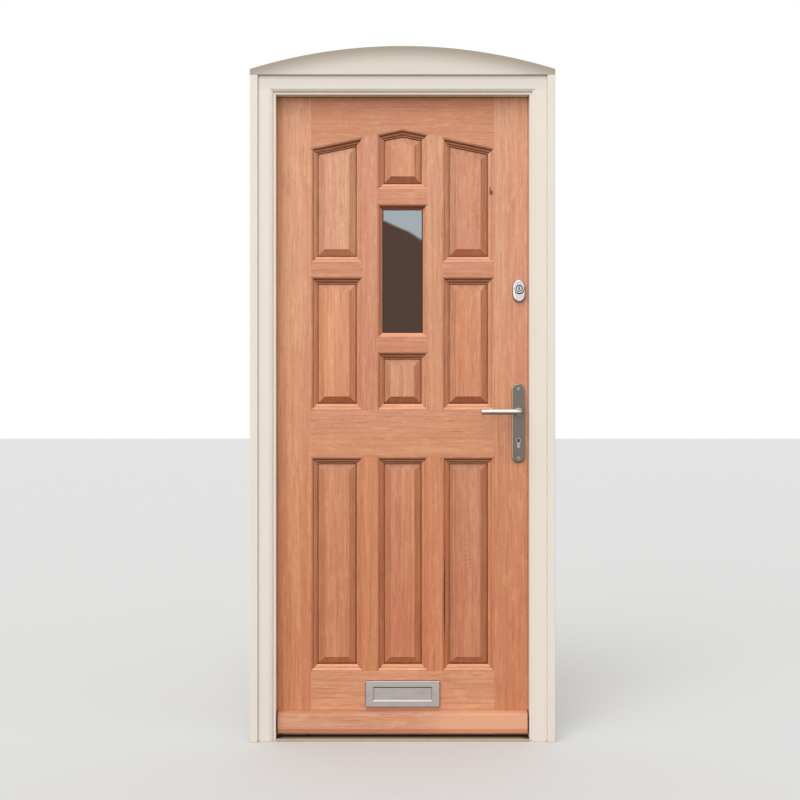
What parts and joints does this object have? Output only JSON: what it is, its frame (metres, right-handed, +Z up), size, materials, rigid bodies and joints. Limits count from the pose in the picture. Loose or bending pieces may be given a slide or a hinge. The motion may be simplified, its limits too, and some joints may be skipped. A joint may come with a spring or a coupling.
{
  "type": "panelled front door",
  "caption": "Varnished hardwood panelled front door with a small centre window, hung in a cream timber frame with a shallow arched top board.",
  "frame": {"origin": "middle of the threshold's underside, at floor level, at mid-depth of the frame", "axes": "+X to the right seen from outside, -Y towards the outside, +Y into the house, +Z up"},
  "size_m": [0.958, 0.166, 2.184],
  "materials": {
    "hardwood": "satin varnish over a warm stain, grain along each member",
    "painted_timber": "satin cream paint",
    "satin_aluminium": "satin anodised",
    "spacer_aluminium": "mill finish",
    "seal_rubber": "matt black",
    "glass": "obscured",
    "chrome": "polished",
    "nickel_brass": "nickel plated, satin",
    "satin_steel": "satin"
  },
  "bodies": {
    "frame": {"jamb_hinge_side": "painted_timber", "jamb_lock_side": "painted_timber", "frame_head": "painted_timber", "arch_board": "painted_timber", "cover_strips": "painted_timber", "threshold": "satin_aluminium", "weather_seal": "seal_rubber", "strike_plate": "satin_steel", "night_latch_keep": "chrome", "hinge_frame_plates": "satin_steel", "hinge_pins": "satin_steel", "frame_screws": "satin_steel"},
    "leaf": {"backplate_inside": "satin_steel", "backplate_outside": "satin_steel", "bottom_rail": "hardwood", "centre_cross_rails": "hardwood", "cylinder_body": "nickel_brass", "cylinder_pull": "chrome", "glass_panes": "glass", "glass_spacer": "spacer_aluminium", "glazing_beads": "hardwood", "hinge_leaf_plates": "satin_steel", "hinge_stile": "hardwood", "leaf_screws": "satin_steel", "letter_plate_inside": "satin_aluminium", "letter_plate_outside": "satin_aluminium", "lock_case": "satin_steel", "lock_rail": "hardwood", "lock_stile": "hardwood", "muntin_lower_left": "hardwood", "muntin_lower_right": "hardwood", "muntin_upper_left": "hardwood", "muntin_upper_right": "hardwood", "night_latch_case": "chrome", "panel_lower_centre": "hardwood", "panel_lower_left": "hardwood", "panel_lower_right": "hardwood", "panel_middle_centre": "hardwood", "panel_middle_left": "hardwood", "panel_middle_right": "hardwood", "panel_upper_centre": "hardwood", "panel_upper_left": "hardwood", "panel_upper_right": "hardwood", "rim_cylinder": "nickel_brass", "side_cross_rails": "hardwood", "through_bolts": "satin_steel", "top_rail": "hardwood", "weatherboard": "hardwood"},
    "levers": {"lever_outside": "satin_steel", "lever_inside": "satin_steel", "lever_spindle": "satin_steel"},
    "latch": {"latch_bolt": "satin_steel"},
    "dead_bolt": {"deadbolt": "satin_steel"},
    "thumb_turn": {"thumbturn": "nickel_brass"},
    "key_core": {"key_plug": "nickel_brass"},
    "night_knob": {"night_latch_knob": "chrome"},
    "night_bolt": {"night_latch_bolt": "satin_steel"},
    "rim_core": {"rim_plug": "nickel_brass"},
    "post_flap": {"letter_flap": "satin_aluminium"},
    "draught_flap": {"inner_flap": "satin_aluminium"}
  },
  "joints": [
    {"name": "leaf_hinge", "type": "hinge", "parent": "frame", "child": "leaf", "pos_m": [-0.408, 0.0535, 0], "axis": [0, 0, 1], "range_deg": [0, 100]},
    {"name": "lever_turn", "type": "hinge", "parent": "leaf", "child": "levers", "pos_m": [0.3675, 0, 1.037], "axis": [0, -1, 0], "range_deg": [0, 38], "stiffness_Nm_per_rad": 1.5, "springref_deg": -34.38},
    {"name": "latch_slide", "type": "slide", "parent": "leaf", "child": "latch", "axis": [-1, 0, 0], "range_m": [0, 0.011]},
    {"name": "thumbturn_turn", "type": "hinge", "parent": "leaf", "child": "thumb_turn", "pos_m": [0.3675, 0, 0.945], "axis": [0, 1, 0], "range_deg": [0, 360]},
    {"name": "deadbolt_slide", "type": "slide", "parent": "leaf", "child": "dead_bolt", "axis": [1, 0, 0], "range_m": [0, 0.02]},
    {"name": "key_turn", "type": "hinge", "parent": "leaf", "child": "key_core", "pos_m": [0.3675, 0, 0.945], "axis": [0, -1, 0], "range_deg": [0, 360]},
    {"name": "night_knob_turn", "type": "hinge", "parent": "leaf", "child": "night_knob", "pos_m": [0.349, 0, 1.4275], "axis": [0, 1, 0], "range_deg": [0, 60]},
    {"name": "night_bolt_slide", "type": "slide", "parent": "leaf", "child": "night_bolt", "axis": [-1, 0, 0], "range_m": [0, 0.015], "stiffness_N_per_m": 300, "springref_m": -0.01},
    {"name": "rim_key_turn", "type": "hinge", "parent": "leaf", "child": "rim_core", "pos_m": [0.37, 0, 1.4275], "axis": [0, -1, 0], "range_deg": [0, 90]},
    {"name": "post_flap_swing", "type": "hinge", "parent": "leaf", "child": "post_flap", "pos_m": [0, 0.0009, 0.164], "axis": [1, 0, 0], "range_deg": [0, 60], "stiffness_Nm_per_rad": 0.05, "springref_deg": -22.92},
    {"name": "draught_flap_swing", "type": "hinge", "parent": "leaf", "child": "draught_flap", "pos_m": [0, 0.0549, 0.174], "axis": [1, 0, 0], "range_deg": [0, 80]}
  ],
  "couplings": [
    {"joint": "latch_slide", "follows": "lever_turn", "m_per_rad": 0.01658},
    {"joint": "thumbturn_turn", "follows": "deadbolt_slide", "rad_per_m": 314.1},
    {"joint": "night_knob_turn", "follows": "night_bolt_slide", "rad_per_m": 69.8}
  ]
}
